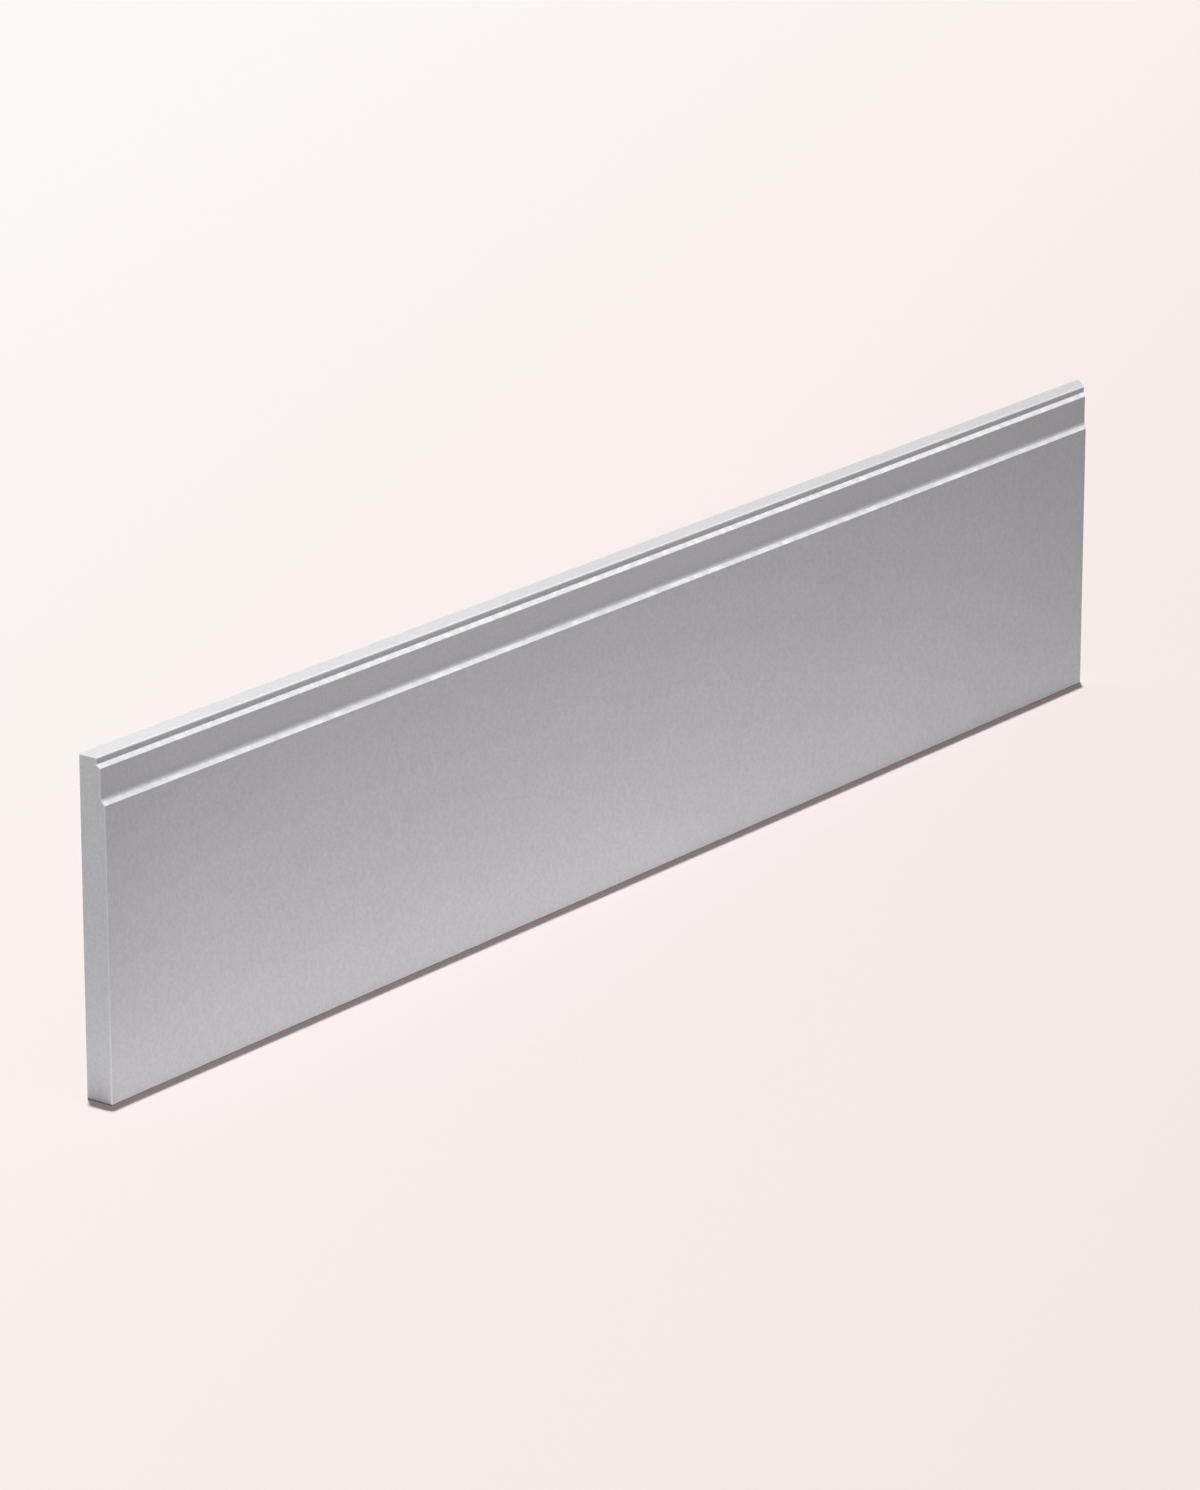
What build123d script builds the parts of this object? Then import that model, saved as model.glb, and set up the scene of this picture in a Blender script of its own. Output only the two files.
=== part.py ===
from build123d import *
from math import radians, tan
import os

# A length of skirting board, machined from one piece of medium density fibreboard and painted all over.
# It stands on its bottom edge against a wall, and covers the joint between the wall and the floor.
#
# The back of the board lies on the plane Y = 0, and the moulded front faces -Y.
# The floor is Z = 0, X runs along the wall, and the origin is halfway along the board's bottom back edge.
# The -X end is cut square. The +X end is mitred for an inside corner, so the back is its long side.

# The board, in millimetres
board_length = 1000.0  # along the wall, from the square end to the long point of the mitre
board_height = 200.0
board_thickness = 18.0  # from the wall to the plain front face
mitre_angle = 45.0  # in degrees, between the mitre cut and the wall: half of a square room corner

# The moulding along the top of the front, from the top down
top_arris_radius = 1.0  # rounding between the top and the upright step
step_height = 3.9  # from the top of the board to the foot of the step
chamfer_height = 2.1  # how far the chamfer below the step falls
chamfer_depth = 2.6  # how far it comes forward
band_height = 16.5  # the flat band below the chamfer
hollow_radius = 3.2  # the hollow that turns the foot of the band forward, into the bevel
bevel_tilt = 48.0  # in degrees, how far the bevel leans back from upright
bevel_depth = 3.0  # how far the plain front face stands forward of the band

# The arrises that are sanded before painting
end_arris_radius = 0.6  # all round the square end
bottom_arris_radius = 0.5  # along the foot of the front face

# Places along the wall, depths from the wall and heights above the floor
square_end = -board_length / 2
long_point = board_length / 2
front = -board_thickness
band = front + bevel_depth
step = band + chamfer_depth
chamfer_top = board_height - step_height
chamfer_foot = chamfer_top - chamfer_height
hollow_top = chamfer_foot - band_height


with BuildPart() as skirting_board:
    # The section, as the cutters leave it, on the plane of the square end
    with BuildSketch(Plane.YZ.offset(square_end)) as section:
        with BuildLine() as outline:
            # Up the wall face, over the top, and down the step, the chamfer and the band
            Polyline(
                (front, 0),
                (0, 0),
                (0, board_height),
                (step, board_height),
                (step, chamfer_top),
                (band, chamfer_foot),
                (band, hollow_top),
            )
            # The hollow leaves the band upright and sweeps forward until it leans back as far as the bevel
            hollow = CenterArc((band - hollow_radius, hollow_top), hollow_radius, 0, -bevel_tilt)
            # The bevel runs on from it, and stops at a sharp arris on the front face
            hollow_foot = hollow @ 1
            bevel_fall = (hollow_foot.X - front) / tan(radians(bevel_tilt))
            bevel = Line(hollow_foot, (front, hollow_foot.Y - bevel_fall))
            # Down the plain front face to the floor
            Line(bevel @ 1, (front, 0))
        make_face()
        top_front_corner = section.vertices().group_by(Axis.Y)[-1].sort_by(Axis.X)[0]
        fillet(top_front_corner, radius=top_arris_radius)
    extrude(amount=board_length)

    # The mitre leaves the long point at the wall, and runs forward and back along the board
    mitre_face = Plane(origin=(long_point, 0, 0), z_dir=Vector(0, -1, 0).rotate(Axis.Z, mitre_angle))
    split(bisect_by=mitre_face, keep=Keep.BOTTOM)

    # The sanded arrises
    front_foot = skirting_board.edges().filter_by(Axis.X).group_by(Axis.Z)[0].sort_by(Axis.Y)[0]
    fillet(front_foot, radius=bottom_arris_radius)
    end_face = skirting_board.faces().sort_by(Axis.X)[0]
    fillet(end_face.edges(), radius=end_arris_radius)

skirting_board.part.label = "skirting_board"

os.makedirs("parts", exist_ok=True)
export_step(skirting_board.part, "parts/skirting_board.step")
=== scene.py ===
from math import cos, pi, radians, sin

import bpy
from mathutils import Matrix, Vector


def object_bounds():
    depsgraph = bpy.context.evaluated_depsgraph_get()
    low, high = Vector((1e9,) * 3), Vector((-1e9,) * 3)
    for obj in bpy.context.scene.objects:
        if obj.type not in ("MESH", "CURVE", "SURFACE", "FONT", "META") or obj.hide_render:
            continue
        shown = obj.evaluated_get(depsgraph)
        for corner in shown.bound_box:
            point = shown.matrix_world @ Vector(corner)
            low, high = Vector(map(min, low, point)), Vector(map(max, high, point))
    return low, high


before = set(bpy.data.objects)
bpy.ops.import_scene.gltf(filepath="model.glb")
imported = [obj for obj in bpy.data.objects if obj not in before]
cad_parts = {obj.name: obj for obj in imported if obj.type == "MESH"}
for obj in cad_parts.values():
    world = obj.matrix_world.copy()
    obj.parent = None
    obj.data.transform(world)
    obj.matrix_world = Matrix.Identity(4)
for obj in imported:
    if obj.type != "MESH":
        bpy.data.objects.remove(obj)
cad_low, cad_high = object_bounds()

# The skirting board
# One machined length of medium density fibreboard, primed and painted all over in a pale neutral grey.
# The paint is rolled on thin: a fine sandy grain over a faint orange peel, with a satin sheen.

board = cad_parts["skirting_board"]
board_length = cad_high.x - cad_low.x
board_depth = cad_high.y - cad_low.y

paint_pale = (0.694, 0.688, 0.707, 1.0)
paint_deep = (0.476, 0.472, 0.485, 1.0)
paint_index = 1.45  # how strongly the dried paint bends light
cloud_size = 0.16  # soft patches, where the coat is a little thicker or thinner, in metres
cloud_detail = 3.0  # how many finer patterns, each half the size of the last, break them up
grain_size = 0.0019  # the sandy grain of the primed fibreboard under the paint
grain_detail = 2.0
grain_height = 0.000033
grain_share = 0.7  # how much of the tone is the grain's, and the rest is the clouds'
peel_size = 0.0065  # the orange peel that the roller leaves
peel_detail = 1.0
peel_height = 0.000012
peel_low = 0.35  # nearly all of the orange peel's noise lies between these two
peel_high = 0.65
sheen_satin = 0.38  # roughness where the coat has flowed out
sheen_dry = 0.50  # roughness where it has dried thin
cut_skin = 0.0003  # how near to a sawn end the board counts as sawn
cut_grain = 1.6  # the sawn ends drink the paint, so their grain stands out more
cut_dryness = 0.10  # and their coat is rougher by this much
arris_highlight_tone = (0.695, 0.689, 0.707, 1.0)  # a painted highlight on the arrises: a paler tone that stands in for the light the rounded edges catch
end_arris = 0.0006  # how wide the painted highlight is round the square end
end_skip = 0.000012  # how far in from the end it starts, so that the flat of the end has none of it
top_arris = 0.001  # how wide the rounding is along the top of the front
top_arris_back = -0.0114  # where the top face turns into that rounding


def feed(tree, socket, value):
    """Links value into the socket where it is another node's output, and otherwise writes it there."""
    if isinstance(value, bpy.types.NodeSocket):
        tree.links.new(value, socket)
    else:
        socket.default_value = value


def noise(tree, place, size, detail):
    """A soft random pattern from 0 to 1, in patches about size across."""
    texture = tree.nodes.new("ShaderNodeTexNoise")
    texture.inputs["Scale"].default_value = 1 / size
    texture.inputs["Detail"].default_value = detail
    tree.links.new(place, texture.inputs["Vector"])
    return texture.outputs["Fac"]


def worked_out(tree, operation, *values):
    """What the operation makes of the values, each a number or another node's output."""
    step = tree.nodes.new("ShaderNodeMath")
    step.operation = operation
    for socket, value in zip(step.inputs, values):
        feed(tree, socket, value)
    return step.outputs["Value"]


def carried_over(tree, value, low, high, low_result, high_result, curve="LINEAR"):
    """The low result where value is up to low, the high one from high on, and a blend of them between."""
    ramp = tree.nodes.new("ShaderNodeMapRange")
    ramp.interpolation_type = curve
    ramp.inputs["From Min"].default_value = low
    ramp.inputs["From Max"].default_value = high
    ramp.inputs["To Min"].default_value = low_result
    ramp.inputs["To Max"].default_value = high_result
    tree.links.new(value, ramp.inputs["Value"])
    return ramp.outputs["Result"]


def blend(tree, kind, share, first, second):
    """The first value or colour where share is 0, the second where it is 1."""
    mix = tree.nodes.new("ShaderNodeMix")
    mix.data_type = kind
    feed(tree, mix.inputs["Factor"], share)
    feed(tree, mix.inputs["A"], first)
    feed(tree, mix.inputs["B"], second)
    return mix.outputs["Result"]


paint = bpy.data.materials.new("satin_paint_on_fibreboard")
paint.use_nodes = True
coat = paint.node_tree
shader = coat.nodes["Principled BSDF"]
shader.inputs["IOR"].default_value = paint_index

place = coat.nodes.new("ShaderNodeTexCoord").outputs["Object"]
grain = noise(coat, place, grain_size, grain_detail)
peel = noise(coat, place, peel_size, peel_detail)
clouds = noise(coat, place, cloud_size, cloud_detail)
axes = coat.nodes.new("ShaderNodeSeparateXYZ")
coat.links.new(place, axes.inputs["Vector"])
x, y, z = axes.outputs

# The two sawn ends: the square one faces -X, and the mitre lies where x - y reaches its greatest value
past_middle = worked_out(coat, "SUBTRACT", x, y)
before_middle = worked_out(coat, "MULTIPLY", x, -1)
reach = worked_out(coat, "MAXIMUM", past_middle, before_middle)
sawn = worked_out(coat, "GREATER_THAN", reach, board_length / 2 - cut_skin)

# The height of the surface in metres: the grain, deeper on the sawn ends, and the orange peel added to it
grain_depth = carried_over(coat, sawn, 0, 1, grain_height, grain_height * cut_grain)
grain_rise = worked_out(coat, "MULTIPLY", grain, grain_depth)
surface_rise = worked_out(coat, "MULTIPLY_ADD", peel, peel_height, grain_rise)
bump = coat.nodes.new("ShaderNodeBump")
bump.inputs["Distance"].default_value = 1.0
coat.links.new(surface_rise, bump.inputs["Height"])
coat.links.new(bump.outputs["Normal"], shader.inputs["Normal"])

# The clouds carry the tone of the coat, and the grain breaks it up
tone = blend(coat, "FLOAT", grain_share, clouds, grain)
paint_tone = blend(coat, "RGBA", tone, paint_deep, paint_pale)

# The painted highlight on the arrises: a paler tone on the rounding just inside the square end, and on the
# one between the top and the step
round_end_middle = cad_low.x + end_skip + end_arris / 2
round_end = worked_out(coat, "COMPARE", x, round_end_middle, end_arris / 2)
near_top = worked_out(coat, "GREATER_THAN", z, cad_high.z - top_arris)
before_top = worked_out(coat, "LESS_THAN", y, top_arris_back)
along_top = worked_out(coat, "MULTIPLY", near_top, before_top)
painted_highlight = worked_out(coat, "MAXIMUM", round_end, along_top)
# The arrises get a paler base colour, a painted highlight where the rounded edges would catch the light
highlighted_tone = blend(coat, "RGBA", painted_highlight, paint_tone, arris_highlight_tone)
coat.links.new(highlighted_tone, shader.inputs["Base Color"])

# The sheen follows the orange peel, and is duller on the sawn ends
sheen = carried_over(coat, peel, peel_low, peel_high, sheen_satin, sheen_dry)
roughness = worked_out(coat, "MULTIPLY_ADD", sawn, cut_dryness, sheen)
coat.links.new(roughness, shader.inputs["Roughness"])

for slot in board.material_slots:
    slot.material = paint

# The floor
# A plain pale studio floor, much larger than the board, that runs off to the horizon on every side.
# It is warm white to the eye, a little pinker near the camera, and gives only a little light to the board.

floor_half = 25.0
floor_drop = 0.0001  # the floor lies a hair under the foot of the board
floor_far = (0.479, 0.450, 0.440, 1.0)
floor_near = (0.433, 0.371, 0.365, 1.0)
floor_bounce = (0.065, 0.065, 0.065, 1.0)
tint_heading = 20.0  # degrees from the +Y axis towards the -X axis: where the floor grows paler
tint_start = -1.2  # metres from the origin along that heading, where the near colour ends
tint_end = 1.2  # where the far colour starts

floor_mesh = bpy.data.meshes.new("studio_floor")
floor_corners = [
    (-floor_half, -floor_half, -floor_drop),
    (floor_half, -floor_half, -floor_drop),
    (floor_half, floor_half, -floor_drop),
    (-floor_half, floor_half, -floor_drop),
]
floor_mesh.from_pydata(floor_corners, [], [(0, 1, 2, 3)])
floor = bpy.data.objects.new("studio_floor", floor_mesh)
bpy.context.scene.collection.objects.link(floor)


def show(tree, seen, unseen, surface):
    """The camera and reflections see the seen shader, and the unseen one sends its light to the board."""
    ray = tree.nodes.new("ShaderNodeLightPath")
    in_view = worked_out(tree, "MAXIMUM", ray.outputs["Is Camera Ray"], ray.outputs["Is Glossy Ray"])
    choice = tree.nodes.new("ShaderNodeMixShader")
    tree.links.new(in_view, choice.inputs["Fac"])
    tree.links.new(unseen, choice.inputs[1])
    tree.links.new(seen, choice.inputs[2])
    tree.links.new(choice.outputs["Shader"], surface)


floor_finish = bpy.data.materials.new("pale_floor")
floor_finish.use_nodes = True
ground = floor_finish.node_tree
ground.nodes.clear()
floor_output = ground.nodes.new("ShaderNodeOutputMaterial")

floor_place = ground.nodes.new("ShaderNodeTexCoord")
along = ground.nodes.new("ShaderNodeVectorMath")
along.operation = "DOT_PRODUCT"
along.inputs[1].default_value = (-sin(radians(tint_heading)), cos(radians(tint_heading)), 0)
ground.links.new(floor_place.outputs["Object"], along.inputs[0])
distance_share = carried_over(ground, along.outputs["Value"], tint_start, tint_end, 0, 1, "SMOOTHSTEP")

seen_floor = ground.nodes.new("ShaderNodeBsdfDiffuse")
floor_tint = blend(ground, "RGBA", distance_share, floor_near, floor_far)
ground.links.new(floor_tint, seen_floor.inputs["Color"])
unseen_floor = ground.nodes.new("ShaderNodeBsdfDiffuse")
unseen_floor.inputs["Color"].default_value = floor_bounce
show(ground, seen_floor.outputs["BSDF"], unseen_floor.outputs["BSDF"], floor_output.inputs["Surface"])
floor_mesh.materials.append(floor_finish)

# The room
# The world is the rest of the studio: a dim neutral fill on the board, and a pale wall far off behind it.
# The camera and the paint's reflections see the pale wall, at less than full white.

room_fill = 0.12
wall_color = (0.955, 0.922, 0.895, 1.0)

world = bpy.data.worlds.new("pale_room")
bpy.context.scene.world = world
world.use_nodes = True
room = world.node_tree
fill = room.nodes["Background"]
fill.inputs["Color"].default_value = (1, 1, 1, 1)
fill.inputs["Strength"].default_value = room_fill
wall = room.nodes.new("ShaderNodeBackground")
wall.inputs["Color"].default_value = wall_color
wall.inputs["Strength"].default_value = 1.0
room_output = room.nodes["World Output"]
show(room, wall.outputs["Background"], fill.outputs["Background"], room_output.inputs["Surface"])

# The lamps
# Soft boxes round the board and three pale cards light it and not the floor, which has two lamps of its own.
# A level of 1 makes a matt white surface that faces the lamp render as white.

lit_board = bpy.data.collections.new("lit_board")
lit_board.objects.link(board)
lit_floor = bpy.data.collections.new("lit_floor")
lit_floor.objects.link(floor)


def soft_box(name, place, aim, width, height, level):
    """An area lamp at place that faces aim, with the power that gives its level at aim."""
    lamp = bpy.data.lights.new(name, "AREA")
    lamp.shape = "RECTANGLE"
    lamp.size = width
    lamp.size_y = height
    way = Vector(aim) - Vector(place)
    lamp.energy = level * pi ** 2 * way.length_squared
    box = bpy.data.objects.new(name, lamp)
    box.location = place
    box.rotation_euler = way.to_track_quat("-Z", "Y").to_euler()
    box.visible_camera = False
    bpy.context.scene.collection.objects.link(box)
    box.light_linking.receiver_collection = lit_board
    return box


# The key hangs high past the square end. It lights that end and the top, and the arris between them most.
soft_box("key", place=(-1.05, -0.10, 1.90), aim=(-0.25, 0.0, 0.2), width=0.7, height=0.7, level=0.93)
# The sheen lamp hangs to the right, where the chamfer and the bevel mirror it to the camera
soft_box("sheen", place=(3.0, -0.74, 2.6), aim=(0.0, 0.0, 0.2), width=1.4, height=1.4, level=0.55)
# Low fills light the square end, the mitre and the wall side
soft_box("end_fill", place=(-0.9, 0.0, 0.20), aim=(-0.5, 0.0, 0.19), width=0.5, height=0.1, level=0.22)
soft_box("right_fill", place=(2.4, 0.3, 0.3), aim=(0.5, 0.0, 0.1), width=1.0, height=0.5, level=0.45)
soft_box("back_fill", place=(0.3, 2.4, 0.3), aim=(0.0, 0.0, 0.1), width=1.4, height=0.5, level=0.45)

card_width = 1.15  # along the board, from just past the square end to just past the long point
card_right = 0.55  # where the cards along the front end, past the long point
near_depth = 0.12  # the near card runs along the foot of the front
far_depth = 0.16  # the far one lies in front of it
card_tint = (1.0, 0.975, 0.995)  # a little of the floor's pink
fade_share = 0.52  # the right-hand share of a card, over which it dims towards its right end
fade_level = 0.47  # how bright it still is there
end_card_gap = 0.004  # from the square end to the end card
end_card_width = 0.096
end_card_depth = 0.08  # back from the line of the wall


def floor_card(name, middle_x, middle_y, width, depth, brightness):
    """A pale card on the floor, as bright as white at 1. It lights the board and isn't mirrored in it."""
    middle = Vector((middle_x, middle_y, 0))
    level = brightness * width * depth / pi
    card = soft_box(name, middle, middle + Vector((0, 0, 1)), width, depth, level)
    card.data.color = card_tint
    card.visible_glossy = False
    return card


# The two cards along the front light the face from below, and dim towards the mitre
card_middle = card_right - card_width / 2
near_middle = -board_depth - near_depth / 2
far_middle = -board_depth - near_depth - far_depth / 2
near_card = floor_card("near_card", card_middle, near_middle, card_width, near_depth, brightness=1.22)
far_card = floor_card("far_card", card_middle, far_middle, card_width, far_depth, brightness=1.15)
for card in (near_card, far_card):
    card.data.use_nodes = True
    glow = card.data.node_tree
    spot = glow.nodes.new("ShaderNodeNewGeometry")
    from_right = glow.nodes.new("ShaderNodeSeparateXYZ")
    glow.links.new(spot.outputs["Parametric"], from_right.inputs["Vector"])
    fade = carried_over(glow, from_right.outputs["X"], 0, fade_share, fade_level, 1)
    glow.links.new(fade, glow.nodes["Emission"].inputs["Strength"])
# The end card carries the near one on round the corner, so that the square end is lit evenly across
end_card_middle = cad_low.x - end_card_gap - end_card_width / 2
floor_card("end_card", end_card_middle, end_card_depth / 2, end_card_width, end_card_depth, brightness=1.0)


def floor_sun(name, level, tint, spread):
    """A lamp straight over the floor and far off, spread degrees across, that lights the floor alone."""
    lamp = bpy.data.lights.new(name, "SUN")
    lamp.energy = level * pi
    lamp.color = tint
    lamp.angle = radians(spread)
    sun = bpy.data.objects.new(name, lamp)
    bpy.context.scene.collection.objects.link(sun)
    sun.light_linking.receiver_collection = lit_floor
    return sun


# The floor's first lamp leans a little from overhead, so its shadow edges the foot of the board
floor_lean = 2.3  # degrees from straight down, towards the front and towards the left
overhead = floor_sun("floor_lamp", level=1.68, tint=(0.94, 1.0, 1.0), spread=1.0)
overhead.rotation_euler = (radians(-floor_lean), radians(floor_lean), 0)
# The other is as wide as a ceiling. It fills that shadow with warmer light, less of it close to the board.
floor_sun("ceiling", level=0.33, tint=(1.0, 0.85, 0.85), spread=150.0)

# The camera
# It stands in front and to the left of the square end, and looks down along the board with a long lens.
# Its place is fitted to the board's edges in the photograph.

photo_height = 1490  # pixels, the photograph's long side
focal_pixels = 6832.8
film_width = 36.0
camera_aim = Vector((-0.0495, -0.018, 0.0929))
camera_distance = 4.0773
camera_elevation = radians(17.702)
camera_heading = radians(53.392)  # from the +Y axis towards the +X axis

camera_data = bpy.data.cameras.new("camera")
camera_data.sensor_width = film_width
camera_data.lens = film_width * focal_pixels / photo_height
camera = bpy.data.objects.new("camera", camera_data)
camera_way = Vector((
    sin(camera_heading) * cos(camera_elevation),
    cos(camera_heading) * cos(camera_elevation),
    -sin(camera_elevation),
))
camera.location = camera_aim - camera_way * camera_distance
camera.rotation_euler = (pi / 2 - camera_elevation, 0, -camera_heading)
bpy.context.scene.collection.objects.link(camera)
bpy.context.scene.camera = camera
bpy.context.scene.view_settings.view_transform = "Standard"
